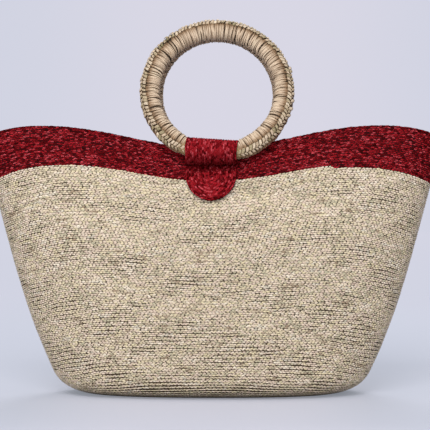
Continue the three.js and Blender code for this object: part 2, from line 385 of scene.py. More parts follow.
PLAIT_SIZES = {
    "Strand Pitch": STRAND_PITCH,
    "Strand Overlap": 1.26,
    "Strand Height": 0.64,
    "Strand Rise": 0.25,
    "Crown": 0.0022,
    "Slant": 0.24,
    "Shingle": 0.0004,
    "Bend": 0.0,
    "Looseness": 0.14,
    "Scatter": 0.11,
    "Cells": 1.0,
    "Along Cuts": 4,
    "Across Cuts": 3,
    "Seed": 1,
}
COVER_SIZES = {
    "Wrap Pitch": 2 * math.pi * RING_RADIUS / WRAP_COUNT,
    "Wrap Overlap": 1.4,
    "Ring Radius": RING_RADIUS,
    "Tube Radius": RING_TUBE_RADIUS,
    "Crown": 0.0007,
    "Slit Turn": SLIT_TURN,
    "Slit Half Angle": math.radians(24),
    "Looseness": 0.11,
    "Loose Share": 0.09,
    "Cells": cells_for(WRAP_COUNT + 1),
    "Seed": 1,
}


def new_tree(name, rows, sizes, result):
    """A geometry tree that takes rows, sizes and a material: the tree, its maker and its input node."""
    tree = bpy.data.node_groups.new(name, "GeometryNodeTree")
    face = tree.interface
    face.new_socket(rows, in_out="INPUT", socket_type="NodeSocketGeometry")
    for label, size in sizes.items():
        kind = "NodeSocketInt" if isinstance(size, int) else "NodeSocketFloat"
        face.new_socket(label, in_out="INPUT", socket_type=kind).default_value = size
    face.new_socket("Palm", in_out="INPUT", socket_type="NodeSocketMaterial")
    face.new_socket(result, in_out="OUTPUT", socket_type="NodeSocketGeometry")
    make = Maker(tree)
    return tree, make, make.add("NodeGroupInput", {})


def flat_grid(make, along_cuts, across_cuts):
    """A unit square, and where its points lie along and across it."""
    grid = make.add("GeometryNodeMeshGrid", {}, 1, 1, along_cuts, across_cuts)
    place = make.add("ShaderNodeSeparateXYZ", {}, make.add("GeometryNodeInputPosition", {}))
    return grid, place, place.out("Y")


def shaped(make, grid, places):
    """The square with its points moved to these places, and with a map of its own."""
    piece = make.add("GeometryNodeSetPosition", {}, grid, True, places)
    piece = make.store(piece, "strand_uv", grid.out("UV Map"), "CORNER", "FLOAT2")
    return make.add("GeometryNodeSetShadeSmooth", {}, piece)


def places_along(make, rows, step):
    """Points along the rows, a step apart."""
    rows = make.add("GeometryNodeMeshToCurve", {}, rows)
    return make.add("GeometryNodeResampleCurve", {"mode": "LENGTH"}, rows, Length=step)


def askew(make, given):
    """A random vector, as far each way as the looseness says."""
    loose = given.out("Looseness")
    spread = make.xyz(loose, loose, loose)
    back = make.vector("MULTIPLY", spread, (-1, -1, -1))
    settings = {"data_type": "FLOAT_VECTOR"}
    return make.add("FunctionNodeRandomValue", settings, Min=back, Max=spread, Seed=given.out("Seed"))


def turn_to(make, along, outward):
    """The rotation that lays X along the row and turns Z outward."""
    kind = "FunctionNodeAlignRotationToVector"
    turn = make.add(kind, {"axis": "X"}, Vector=along)
    return make.add(kind, {"axis": "Z", "pivot_axis": "X"}, turn, Vector=outward)


def complete(make, given, placed):
    """Makes the instances one mesh, with a map for baking that has a square cell for each of them."""
    placed = make.store(placed, "number", make.add("GeometryNodeInputIndex", {}), "INSTANCE")
    placed = make.store(placed, "chance", make.random(given.out("Seed") + 1), "INSTANCE")
    whole = make.add("GeometryNodeRealizeInstances", {}, placed)
    number = make.stored("number")
    cells = given.out("Cells")
    corner = make.xyz(number % cells, (number / cells).floor(), 0)
    inside = make.vector("MULTIPLY_ADD", make.stored("strand_uv", "FLOAT_VECTOR"),
                         (CELL_SHARE, CELL_SHARE, 0), (CELL_EDGE, CELL_EDGE, 0))
    cell_uv = make.vector("DIVIDE", make.vector("ADD", corner, inside), make.xyz(cells, cells, 1))
    whole = make.store(whole, "OFBake", cell_uv, "CORNER", "FLOAT2")
    whole = make.add("GeometryNodeSetMaterial", {}, whole, Material=given.out("Palm"))
    make.add("NodeGroupOutput", {}, whole)


def plait_tree():
    """Strands laid along rows, by turns in the lower and the upper half of the row, and slanted either way.
    The rows are edges of a mesh, with outward and height at each of its points."""
    tree, make, given = new_tree("sewn_plait", "Rows", PLAIT_SIZES, "Plait")
    pitch = given.out("Strand Pitch")
    seed = given.out("Seed")

    # One strand of each half: a slanted pillow in a row one unit high, its top at z 0
    grid, u, v = flat_grid(make, given.out("Along Cuts"), given.out("Across Cuts"))
    side = abs(u * 2) ** PILLOW_POWER + abs(v * 2) ** PILLOW_POWER
    pair = []
    for half in (-1, 1):
        across = v * given.out("Strand Height") + given.out("Strand Rise") * half
        fall = given.out("Crown") * side * 0.5 + given.out("Shingle") * v + given.out("Bend") * across ** 2
        lean = v * given.out("Slant") * pitch * half
        places = make.xyz(u * given.out("Strand Overlap") * pitch + lean, across, 0 - fall)
        pair.append(make.add("GeometryNodeGeometryToInstance", {}, shaped(make, grid, places)))
    both = make.add("GeometryNodeJoinGeometry", {}, pair[0])
    make.feed(both.socket.node.inputs[0], pair[1])

    # Places for the strands along the rows, each strand turned and moved a little at random
    rows = places_along(make, given.out("Rows"), pitch / 2)
    tangent = make.add("GeometryNodeInputTangent", {})
    outward = make.vector("ADD", make.stored("outward", "FLOAT_VECTOR"), askew(make, given))
    width = 1 + given.out("Looseness") * (make.random(seed) - 0.5)
    rows = make.store(rows, "run", make.add("GeometryNodeSplineParameter", {}).out("Length"), "POINT")
    slip = make.random(seed + 2, -1, 1) * given.out("Scatter") * pitch
    slip = make.vector("MULTIPLY", tangent, make.xyz(slip, slip, slip))
    rows = make.add("GeometryNodeSetPosition", {}, rows, Offset=slip)
    number = make.add("GeometryNodeInputIndex", {})
    placed = make.add("GeometryNodeInstanceOnPoints", {}, rows, Instance=both, Pick_Instance=True,
                      Instance_Index=number % 2, Rotation=turn_to(make, tangent, outward),
                      Scale=make.xyz(width, make.stored("height") * width, 1))
    complete(make, given, placed)
    return tree


def wound_tree():
    """Flat strips wound round a tube. The ring is a closed run of edges, with outward and height at each
    of its points. Its height is the share of the tube's radius that is left there."""
    tree, make, given = new_tree("wound_cover", "Ring", COVER_SIZES, "Cover")

    # One wrap: from one side of the slit round to the other, narrower on the inside of the ring
    grid, u, v = flat_grid(make, *WRAP_CUTS)
    slit = given.out("Slit Half Angle")
    section = (v + 0.5) * (2 * math.pi - 2 * slit) + slit + given.out("Slit Turn")
    dip = (abs(u * 2) ** 2 + abs(v * 2) ** WRAP_END_POWER) * given.out("Crown")
    radius = given.out("Tube Radius") - dip
    wide = given.out("Wrap Pitch") * given.out("Wrap Overlap")
    spread = 1 + radius * section.cos() / given.out("Ring Radius")
    wrap = shaped(make, grid, make.xyz(u * wide * spread, radius * section.sin(), radius * section.cos()))

    # Places round the ring, each wrap a little askew and some of them narrow
    ring = places_along(make, given.out("Ring"), given.out("Wrap Pitch"))
    along = make.vector("ADD", make.add("GeometryNodeInputTangent", {}), askew(make, given))
    turn = turn_to(make, along, make.stored("outward", "FLOAT_VECTOR"))
    chance = make.random(given.out("Seed"))
    tight = (1 - given.out("Looseness") * 0.5 * chance) * make.stored("height")
    narrow = chance.below(given.out("Loose Share"))
    placed = make.add("GeometryNodeInstanceOnPoints", {}, ring, Instance=wrap, Rotation=turn,
                      Scale=make.xyz(1 - narrow * NARROWING, tight, tight))
    complete(make, given, placed)
    return tree


# Materials

LEAF_LENGTH = 0.03
TONE_MIDDLE = 0.53
FIBRE_SCALES = (4, 6, 300)
FIBRE_SHIFT = 90
FIBRE_RANGE = (0.4, 0.7)
FIBRE_ROUGHNESS = 0.25
FIBRE_BUMP = 0.35
# Painted shade at the strands' edges, in the grooves between them:
GROOVE_SHADE_POWER = 5
GROOVE_SHADE_RANGE = (0.08, 0.75)
BUMP_DEPTH = 0.0003
BACKING_GRAIN = 900
BACKING_SHADE = 0.45
BACKING_ROUGHNESS = 0.75
BACKING_ROUGHER = 0.15
BACKING_GLOSS = 0.1
BACKING_BUMP = 0.3
CANE_GRAIN = 300


class Shade(Maker):
    """A material's node tree with one Principled shader."""

    def __init__(self, name):
        self.material = bpy.data.materials.new(name)
        self.material.use_nodes = True
        super().__init__(self.material.node_tree)
        self.shader = self.tree.nodes["Principled BSDF"]

    def give(self, label, value):
        self.feed(self.shader.inputs[label], value)

    def attribute(self, name):
        return self.add("ShaderNodeAttribute", {"attribute_name": name}).out("Fac")

    def ramp(self, value, *stops):
        return self.add("ShaderNodeValToRGB", {"stops": stops}, value)

    def noise(self, place, scale, detail):
        return self.add("ShaderNodeTexNoise", {}, Vector=place, Scale=scale, Detail=detail)

    def bump(self, strength, height):
        return self.add("ShaderNodeBump", {}, Strength=strength, Distance=BUMP_DEPTH, Height=height)


def palm(name, tones, groove, roughness, gloss, sweep, drift, fleck, leaf_length=LEAF_LENGTH, painted_shade=None):
    """Split palm leaf. sweep is how much the tone varies from leaf to leaf along the row, drift how much
    from strand to strand, and fleck how strongly the fibres show. The groove tone is painted shade at a
    strand's edge. The last argument is a range of heights over which painted shade darkens the palm
    downwards, and the tone of that shade."""
    shade = Shade(name)
    run = shade.attribute("run")
    chance = shade.attribute("chance")
    uv = shade.add("ShaderNodeSeparateXYZ", {}, shade.add("ShaderNodeUVMap", {"uv_map": "strand_uv"}))
    u, v = uv, uv.out("Y")
    leaf = shade.noise(shade.xyz(run / leaf_length, 0, 0), 1, 1)
    tone = (leaf - 0.5) * sweep + TONE_MIDDLE + (chance - 0.5) * drift
    colour = shade.ramp(tone, *tones)
    along, across, down_row = FIBRE_SCALES
    fibre = shade.noise(shade.xyz(u * along + chance * FIBRE_SHIFT, v * across, run * down_row), 1, 2)
    colour = shade.mix(fibre.between(*FIBRE_RANGE) * fleck, colour, tones[0][1], "MULTIPLY")
    # Painted shade in the grooves: the tone darkens towards a strand's edges, where it meets its neighbours.
    edge = (abs(u * 2 - 1) ** GROOVE_SHADE_POWER + abs(v * 2 - 1) ** GROOVE_SHADE_POWER).between(*GROOVE_SHADE_RANGE)
    colour = shade.mix(edge, colour, groove, "MULTIPLY")
    # Painted shade: the palm darkens downwards over the given heights.
    if painted_shade:
        low, high, painted_shade_tone = painted_shade
        place = shade.add("ShaderNodeSeparateXYZ", {}, shade.add("ShaderNodeTexCoord", {}).out("Object"))
        colour = shade.mix(1 - place.out("Z").between(low, high), colour, painted_shade_tone, "MULTIPLY")
    shade.give("Base Color", colour)
    shade.give("Roughness", roughness + (fibre - 0.5) * FIBRE_ROUGHNESS)
    shade.give("Specular IOR Level", gloss)
    shade.give("Normal", shade.bump(FIBRE_BUMP, fibre))
    return shade.material


NATURAL_TONES = (
    (0.0, (0.36, 0.27, 0.18)),
    (0.16, (0.48, 0.39, 0.28)),
    (0.3, (0.50, 0.46, 0.32)),
    (0.42, (0.65, 0.54, 0.40)),
    (0.52, (0.69, 0.60, 0.39)),
    (0.62, (0.75, 0.63, 0.50)),
    (0.74, (0.62, 0.49, 0.39)),
    (0.86, (0.82, 0.73, 0.59)),
    (1.0, (0.56, 0.51, 0.41)),
)
# The palest pink at the top of the dyed tones is partly random tone and partly painted highlight; the dyed
# palm has no gloss.
DYED_TONES = (
    (0.0, (0.04, 0.002, 0.002)),
    (0.25, (0.14, 0.004, 0.006)),
    (0.5, (0.30, 0.009, 0.014)),
    (0.78, (0.44, 0.021, 0.03)),
    (1.0, (0.60, 0.08, 0.098)),
)
COVER_TONES = (
    (0.0, (0.26, 0.18, 0.11)),
    (0.2, (0.44, 0.34, 0.24)),
    (0.45, (0.63, 0.49, 0.355)),
    (0.7, (0.755, 0.60, 0.44)),
    (1.0, (0.58, 0.495, 0.355)),
)
LACING_TONES = (
    (0.0, (0.24, 0.20, 0.10)),
    (0.22, (0.44, 0.36, 0.22)),
    (0.55, (0.62, 0.48, 0.34)),
    (1.0, (0.76, 0.63, 0.47)),
)

# Painted shade: a contact shadow along the foot of the wall, darkest at the floor.
FOOT_PAINTED_SHADE = (0.0004, 0.009, (0.05, 0.04, 0.03))
# Painted shade: the tab's loop darkens downwards, on the side that faces the floor.
LOOP_PAINTED_SHADE = (0.2433, 0.267, (0.46, 0.41, 0.41))
NATURAL_LOOK = {"tones": NATURAL_TONES, "groove": (0.34, 0.26, 0.19), "roughness": 0.55, "gloss": 0.35,
                "sweep": 1.6, "drift": 0.6, "fleck": 0.5}
DYED_LOOK = {"tones": DYED_TONES, "groove": (0.05, 0.03, 0.03), "roughness": 0.6, "gloss": 0.0,
             "sweep": 0.6, "drift": 0.9, "fleck": 0.9}
BAND_LOOK = {**DYED_LOOK, "groove": (0.03, 0.015, 0.015), "sweep": 0.4, "drift": 0.92, "fleck": 1.0}
RIM_LOOK = {**DYED_LOOK, "groove": (0.45, 0.35, 0.35)}
COVER_LOOK = {"tones": COVER_TONES, "groove": (0.42, 0.33, 0.25), "roughness": 0.65, "gloss": 0.2,
              "sweep": 1.6, "drift": 0.6, "fleck": 0.6, "leaf_length": 0.008}
LACING_LOOK = {"tones": LACING_TONES, "groove": (0.22, 0.16, 0.10), "roughness": 0.65, "gloss": 0.2,
               "sweep": 1.6, "drift": 0.8, "fleck": 0.6}

natural_palm = palm("natural_palm_plait", **NATURAL_LOOK)
# Low wall palm with a painted contact shadow at its foot.
foot_shaded_palm = palm("foot_palm_plait_painted_shade", **NATURAL_LOOK, painted_shade=FOOT_PAINTED_SHADE)
dyed_palm = palm("dyed_palm_plait", **DYED_LOOK)
band_palm = palm("band_palm_plait", **BAND_LOOK)
rim_palm = palm("rim_palm_plait", **RIM_LOOK)
# Loop palm with painted shade on its lower side.
loop_shaded_palm = palm("loop_palm_plait_painted_shade", **DYED_LOOK, painted_shade=LOOP_PAINTED_SHADE)
handle_palm = palm("handle_palm_wraps", **COVER_LOOK)
lacing_palm = palm("lacing_palm_stitches", **LACING_LOOK)


def backing(name, colour, scale=BACKING_GRAIN):
    """Palm deep between the strands, its tone darkened as painted shade, or cane, with a faint grain."""
    shade = Shade(name)
    place = shade.add("ShaderNodeTexCoord", {}).out("Object")
    grain = shade.noise(place, scale, 3)
    shade.give("Base Color", shade.mix(grain, colour, tuple(c * BACKING_SHADE for c in colour)))
    shade.give("Roughness", BACKING_ROUGHNESS + grain * BACKING_ROUGHER)
    shade.give("Specular IOR Level", BACKING_GLOSS)
    shade.give("Normal", shade.bump(BACKING_BUMP, grain))
    return shade.material


# Painted shade: the dark palm seen deep between the strands. The cane keeps its own colour.
natural_shade_backing = backing("natural_palm_painted_shade", (0.07, 0.05, 0.032))
dyed_shade_backing = backing("dyed_palm_painted_shade", (0.02, 0.001, 0.002))
tab_backing = backing("dyed_tab_backing", (0.2, 0.009, 0.013))
handle_shade_backing = backing("handle_palm_painted_shade", (0.06, 0.04, 0.025))
core_cane = backing("core_cane", (0.42, 0.28, 0.14), CANE_GRAIN)


# Making pieces

sewn_plait = plait_tree()
wound_cover = wound_tree()


def new_object(name, mesh):
    made = bpy.data.objects.new(name, mesh)
    bpy.context.scene.collection.objects.link(made)
    return made


def rows_mesh(name, rows, closed):
    """Edges along each row, with outward and height at each point. A row holds points, outwards, heights."""
    mesh = bpy.data.meshes.new(name)
    edges = []
    start = 0
    for points, _, _ in rows:
        count = len(points)
        edges += [(start + i, start + i + 1) for i in range(count - 1)]
        if closed:
            edges.append((start + count - 1, start))
        start += count
    mesh.from_pydata(np.concatenate([row[0] for row in rows]).tolist(), edges, [])
    outward = mesh.attributes.new("outward", "FLOAT_VECTOR", "POINT")
    outward.data.foreach_set("vector", np.concatenate([row[1] for row in rows]).ravel())
    height = mesh.attributes.new("height", "FLOAT", "POINT")
    height.data.foreach_set("value", np.concatenate([row[2] for row in rows]))
    return mesh


def grown(name, tree, rows, closed, sizes):
    """A plain mesh from a tree that is run on these rows."""
    source = new_object(name + "_rows", rows_mesh(name, rows, closed))
    modifier = source.modifiers.new("tree", "NODES")
    modifier.node_group = tree
    sockets = {item.name: item.identifier for item in tree.interface.items_tree if item.in_out == "INPUT"}
    for label, size in sizes.items():
        modifier[sockets[label]] = size
    evaluated = source.evaluated_get(bpy.context.evaluated_depsgraph_get())
    mesh = bpy.data.meshes.new_from_object(evaluated)
    mesh.name = name
    bpy.data.objects.remove(source)
    for spare in ("outward", "height", "number"):
        if spare in mesh.attributes:
            mesh.attributes.remove(mesh.attributes[spare])
    return new_object(name, mesh)


def length_of(points, closed):
    ring = np.concatenate([points, points[:1]]) if closed else points
    return np.linalg.norm(np.diff(ring, axis=0), axis=1).sum()


def sew(name, rows, material, seed, closed=False, pitch=STRAND_PITCH, **sizes):
    """Plaits strands along the rows."""
    strands = sum(2 * length_of(row[0], closed) / pitch + 2 for row in rows)
    given = {"Strand Pitch": pitch, "Cells": cells_for(strands), "Seed": seed, "Palm": material}
    given.update({label.replace("_", " "): size for label, size in sizes.items()})
    return grown(name, sewn_plait, rows, closed, given)


def settle(piece, body, slot, *nodes):
    """Says what a piece rides on and which solids it stands for. slot, its finish, is not used."""
    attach(piece, body)
    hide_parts(*nodes)


def smooth_piece(name, points, faces, material):
    mesh = bpy.data.meshes.new(name)
    mesh.from_pydata(points.reshape(-1, 3).tolist(), [], faces)
    mesh.shade_smooth()
    mesh.materials.append(material)
    return new_object(name, mesh)


def closed_shell(name, outer, inner, material, around):
    """A closed wall from a grid of outer and of inner points. around says if the grid closes on itself."""
    count, width = outer.shape[:2]
    points = np.concatenate([outer, inner[:, ::-1]], axis=1)
    size = 2 * width
    faces = []
    for i in range(count if around else count - 1):
        here, there = i * size, (i + 1) % count * size
        for j in range(size):
            beside = (j + 1) % size
            faces.append((here + j, there + j, there + beside, here + beside))
    if not around:
        last = (count - 1) * size
        for j in range(width - 1):
            faces.append((j, j + 1, size - 2 - j, size - 1 - j))
            faces.append((last + size - 1 - j, last + size - 2 - j, last + j + 1, last + j))
    return smooth_piece(name, points, faces, material)


# Bag: a shell, dark with painted shade, with strands sewn on its outside and inside

DYE_START_HEIGHT = 0.24
DYE_ANGLE = -math.acos((DYE_START / half_length(DYE_START_HEIGHT)) ** (SECTION_POWER / 2))
WOBBLE = 0.2
WOBBLE_WAVES = ((5, 0.37, 1), (13, -0.51, 0.6))
CALM_ROWS = 4
LOW_GAP = 0.3
LOW_GAP_POWER = 3
FOOT_ROWS = 12
FOOT_FADE = 5
FOOT_GAP = 0.54
ODD_GAP = 0.3
ODD_WAVES = ((3, 2.1), (7, 4.7))
ODD_CONTRAST = 6
ODD_LEAST = 4.8
SHELL_ANGLES = 192
WALL_SHELL_STEPS = 90
BAND_SHELL_STEPS = 16
LOW_TOP = 24
MIDDLE_TOP = 47
TOP_TURN = ALL_ROWS - 0.2


def spiral(first, last, inside):
    """The row that climbs round the bag, from one turn to another. Its last turn narrows up to the rim."""
    turns = np.linspace(first, last, int((last - first) * PATH_STEPS))
    angle = DYE_ANGLE + 2 * math.pi * turns
    upper = np.minimum(turns + 1, ALL_ROWS)
    row = (turns + upper) / 2
    waves = sum(share * np.sin(count * angle + drift * turns) for count, drift, share in WOBBLE_WAVES)
    calm = np.clip(np.minimum(np.abs(row - WALL_ROWS), ALL_ROWS - row) / CALM_ROWS, 0, 1)
    row = row + WOBBLE * waves * calm
    points, outward, _ = bag_frame(angle, row)
    climb = bag_points(angle, row + ROW_PROBE) - bag_points(angle, row - ROW_PROBE)
    height = np.linalg.norm(climb, axis=1) / (2 * ROW_PROBE) * (upper - turns)
    slow, quick = (np.sin(count * angle + drift * turns) for count, drift in ODD_WAVES)
    odd = np.clip(slow * quick * ODD_CONTRAST - ODD_LEAST, 0, 1)
    low = LOW_GAP * np.clip(1 - np.abs(row) / WALL_ROWS, 0, 1) ** LOW_GAP_POWER
    foot = FOOT_GAP * np.clip((FOOT_ROWS - np.abs(row)) / FOOT_FADE, 0, 1)
    height = height * (1 - low - foot - ODD_GAP * odd * calm)
    if inside:
        return points - outward * (WALL_THICKNESS - PLAIT_SINK), -outward, height
    return points - outward * PLAIT_SINK, outward, height


def bag_shell(name, first, last, material, steps):
    """The shell behind the strands of these rows. It ends a little below the rim."""
    rows = np.linspace(first, last, steps)
    under_rim = np.where(rows == ALL_ROWS, SHELL_DEPTH, 0)[:, None]
    grids = []
    for depth in (SHELL_DEPTH, WALL_THICKNESS - SHELL_DEPTH):
        columns = []
        for angle in np.linspace(0, 2 * math.pi, SHELL_ANGLES, endpoint=False):
            points, outward, upward = bag_frame(np.full(steps, angle), rows)
            columns.append(points - outward * depth - upward * under_rim)
        grids.append(np.array(columns))
    return closed_shell(name, *grids, material, True)


wall_shell = bag_shell("wall_shell", -BASE_ROWS, WALL_ROWS, natural_shade_backing, WALL_SHELL_STEPS)
settle(wall_shell, "bag", "natural_palm", "base_panel", "body_wall")
band_shell = bag_shell("band_shell", WALL_ROWS, ALL_ROWS, dyed_shade_backing, BAND_SHELL_STEPS)
settle(band_shell, "bag", "dyed_palm", "rim_band")

for number, (name, first, last, node, outside) in enumerate((
    ("base_plait", -BASE_ROWS, 0, "base_panel", natural_palm),
    ("wall_plait_low", 0, LOW_TOP, "body_wall", foot_shaded_palm),
    ("wall_plait_middle", LOW_TOP, MIDDLE_TOP, "body_wall", natural_palm),
    ("wall_plait_high", MIDDLE_TOP, WALL_ROWS, "body_wall", natural_palm),
)):
    plait = sew(name, [spiral(first, last, False)], outside, seed=10 + number)
    settle(plait, "bag", "natural_palm", node)
    lining = sew(name.replace("plait", "lining"), [spiral(first, last, True)], natural_palm,
                 seed=20 + number, pitch=LINING_PITCH)
    settle(lining, "bag", "natural_palm", node)

band = sew("band_plait", [spiral(WALL_ROWS, TOP_TURN, False)], band_palm, seed=31, pitch=BAND_PITCH,
           Strand_Height=0.52, Slant=0.2)
settle(band, "bag", "dyed_palm", "rim_band")
lining = sew("band_lining", [spiral(WALL_ROWS, TOP_TURN, True)], dyed_palm, seed=32, pitch=LINING_PITCH)
settle(lining, "bag", "dyed_palm", "rim_band")


def rim_row():
    """The row over the top edge of the rim."""
    angle = np.linspace(0, 2 * math.pi, 2 * PATH_STEPS, endpoint=False)
    points, outward, upward = bag_frame(angle, np.full(len(angle), float(ALL_ROWS)))
    points = points - outward * (WALL_THICKNESS / 2) - upward * PLAIT_SINK
    return points, upward, np.full(len(angle), WALL_THICKNESS)


edge = sew("rim_edge", [rim_row()], rim_palm, seed=33, closed=True, pitch=DYED_PITCH, Shingle=0.0,
           Crown=0.0012)
settle(edge, "bag", "dyed_palm", "rim_band")


# Handles

RING_SECTIONS = 24
RING_SKIP = 3
ring_turns = np.linspace(0, 2 * math.pi, PATH_STEPS, endpoint=False)


def turned(points, matrix):
    """Points or directions through a matrix."""
    m = np.array(matrix)
    return points @ m[:3, :3].T + m[:3, 3]


def moved(row, matrix):
    """A row through a matrix."""
    points, outward, height = row
    turn_only = matrix.to_3x3().to_4x4()
    return turned(points, matrix), turned(outward, turn_only), height


def side_matrix(side):
    return Matrix.Rotation(math.pi if side == "back" else 0, 4, "Z")


def handle_matrix(side):
    """From the handle's own frame, with its axis at the origin, to the bag."""
    lean = Matrix.Rotation(-ring_lean, 4, "X")
    return side_matrix(side) @ Matrix.Translation((0, -axis_depth, AXIS_HEIGHT)) @ lean


def squeeze(shift):
    """Share of the tube's radius that the loop leaves it, round the ring from its lowest point."""
    x = np.sin(ring_turns) * RING_RADIUS + shift
    under = np.clip((TAB_WIDTH / 2 + SQUEEZE_FADE - np.abs(x)) / SQUEEZE_FADE, 0, 1)
    return 1 - SQUEEZE * under * (np.cos(ring_turns) > 0)


def ring_row(shift, section_angle, radius, height):
    """A circle on the ring's tube, at an angle round the tube from its outer edge towards the outside."""
    radius = (radius * squeeze(shift))[:, None]
    away = np.stack([np.sin(ring_turns), 0 * ring_turns, -np.cos(ring_turns)], 1)
    outward = away * math.cos(section_angle) + np.array([0, -math.sin(section_angle), 0])
    points = away * RING_RADIUS + outward * radius + np.array([shift, 0, RING_RADIUS])
    return points, outward, height * squeeze(shift)


def ring_bed(name, shift, matrix):
    """The tube under the wraps and the lacing, its dark colour painted shade seen between them."""
    radius = RING_TUBE_RADIUS - SHELL_DEPTH
    sections = np.linspace(0, 2 * math.pi, RING_SECTIONS, endpoint=False)
    rings = [ring_row(shift, section, radius, 0)[0][::RING_SKIP] for section in sections]
    points = turned(np.array(rings).transpose(1, 0, 2), matrix)
    count, size = points.shape[:2]
    faces = []
    for i in range(count):
        here, there = i * size, (i + 1) % count * size
        for j in range(size):
            beside = (j + 1) % size
            faces.append((here + j, there + j, there + beside, here + beside))
    return smooth_piece(name, points, faces, handle_shade_backing)


def crown_at(x, shift):
    """Height of the loop's crown over its axis, so that its straight top edge clears the ring."""
    inner = RING_RADIUS - RING_TUBE_RADIUS
    left, right = (RING_RADIUS - math.sqrt(inner ** 2 - (end - shift) ** 2)
                   for end in (-TAB_WIDTH / 2, TAB_WIDTH / 2))
    return left + (right - left) * (x / TAB_WIDTH + 0.5) + SEWN_GAP - LOOP_INNER


LOOP_ROWS = 15
LOOP_PLACES = 9
LOOP_POINTS = 24
LOOP_SINK = 0.0018
LOOP_SLUMP = 0.38
LOOP_SKEW = 0.0016
LOOP_FLATTEN = 0.87
FILL_GAP = 0.0009
EDGE_SHARE = 0.72
upper_turn = np.linspace(0, math.pi, LOOP_POINTS)
lower_turn = np.linspace(math.pi, 2 * math.pi, LOOP_POINTS)


def loop_outline(x, shift, radius):
    """Round the loop at a distance along it: its points and outward directions."""
    crown = crown_at(x, shift)
    crown = crown - LOOP_SINK - LOOP_SLUMP * crown
    turn = np.concatenate([upper_turn, lower_turn])
    lift = np.concatenate([np.full(LOOP_POINTS, crown), np.zeros(LOOP_POINTS)])
    flatten = np.where(np.sin(turn) < 0, LOOP_FLATTEN, 1)
    outward = unit(np.stack([0 * turn, np.cos(turn), np.sin(turn) / flatten], 1))
    slide = math.copysign(LOOP_SKEW, shift) * np.maximum(0, np.sin(turn))
    points = np.stack([x + slide, radius * np.cos(turn), radius * np.sin(turn) * flatten + lift], 1)
    return points, outward


def loop_lining(x, shift):
    """Inside of the loop at a distance along it. It is filled up to the tube, apart from its crown."""
    points, _ = loop_outline(x, shift, LOOP_INNER)
    axis = RING_RADIUS - math.sqrt(RING_RADIUS ** 2 - (x - shift) ** 2)
    reach = RING_TUBE_RADIUS * (1 - SQUEEZE) + FILL_GAP
    points[:, 1] *= reach / LOOP_INNER
    points[LOOP_POINTS:, 2] = np.minimum(reach * np.sin(lower_turn) + axis, points[0, 2])
    return points


def loop_rows(shift):
    """Rows round the loop, and one over each of its two edges."""
    rows = []
    width = TAB_WIDTH / LOOP_ROWS
    for i in range(LOOP_ROWS):
        x = (i + 0.5) * width - TAB_WIDTH / 2
        points, outward = loop_outline(x, shift, LOOP_OUTER - PLAIT_SINK)
        rows.append((points, outward, np.full(len(points), width)))
    for x in (PLAIT_SINK - TAB_WIDTH / 2, TAB_WIDTH / 2 - PLAIT_SINK):
        outside, _ = loop_outline(x, shift, LOOP_OUTER - PLAIT_SINK)
        inside = loop_lining(x, shift)
        sideways = np.full((len(outside), 3), (math.copysign(1, x), 0, 0))
        thickness = np.linalg.norm(outside - inside, axis=1)
        rows.append(((outside + inside) / 2, sideways, EDGE_SHARE * thickness))
    return rows


def loop_shell(name, shift, matrix):
    inset = TAB_WIDTH / 2 - SHELL_DEPTH
    places = np.linspace(-inset, inset, LOOP_PLACES)
    outside = [loop_outline(x, shift, LOOP_OUTER - SHELL_DEPTH)[0] for x in places]
    inside = [loop_lining(x, shift) for x in places]
    grids = [turned(np.array(lines).transpose(1, 0, 2), matrix) for lines in (outside, inside)]
    return closed_shell(name, *grids, tab_backing, True)


PATCH_ROWS = 7
PATCH_ROW_WIDTH = TAB_WIDTH / (2 * PATCH_ROWS + 1)
PATCH_CORE_DEPTH = 0.0013
PATCH_CORE_INSET = 0.4 * PATCH_ROW_WIDTH
UNDER_PLY_INSET = 0.002
PATCH_STACK = 2 * (TAB_THICKNESS + SEWN_GAP)
PATCH_LEAST_LIFT = 0.0002
PATCH_SWELL = 0.005
PATCH_SWELL_TOP = 0.008
PATCH_SWELL_END = 0.022
SWELL_FADE_POWER = 1.5
SWELL_SIDE_POWER = 4
PATCH_SIDE_POINTS = 20
PATCH_ARC_POINTS = 40
SLIDE_STEP = 0.0005
SLIDE_COUNT = 120
LIFT_STEP = 0.0001
PROBE = 0.0001
FOLD_ANGLE = math.radians(160)
LEAST_SINE = 1e-9


def patch_heights():
    """Height on the middle of the wall for every SLIDE_STEP down from the loop's touch."""
    z = [seat_height]
    while len(z) < SLIDE_COUNT:
        fall = face_depth(0, z[-1]) - face_depth(0, z[-1] - SLIDE_STEP)
        z.append(z[-1] - SLIDE_STEP / math.hypot(1, fall / SLIDE_STEP))
    return np.array(z)


patch_height = patch_heights()


def loop_reach(x, shift, angle):
    """Reach of the solid loop from its axis, at an angle from the direction of its crown."""
    crown = crown_at(x, shift)
    side = LOOP_OUTER / np.maximum(np.abs(np.sin(angle)), LEAST_SINE)
    top = crown * np.cos(angle) + np.sqrt(np.maximum(0, LOOP_OUTER ** 2 - (crown * np.sin(angle)) ** 2))
    upper = np.where(side * np.cos(angle) <= crown, side, top)
    return np.where(np.cos(angle) <= 0, LOOP_OUTER, upper)


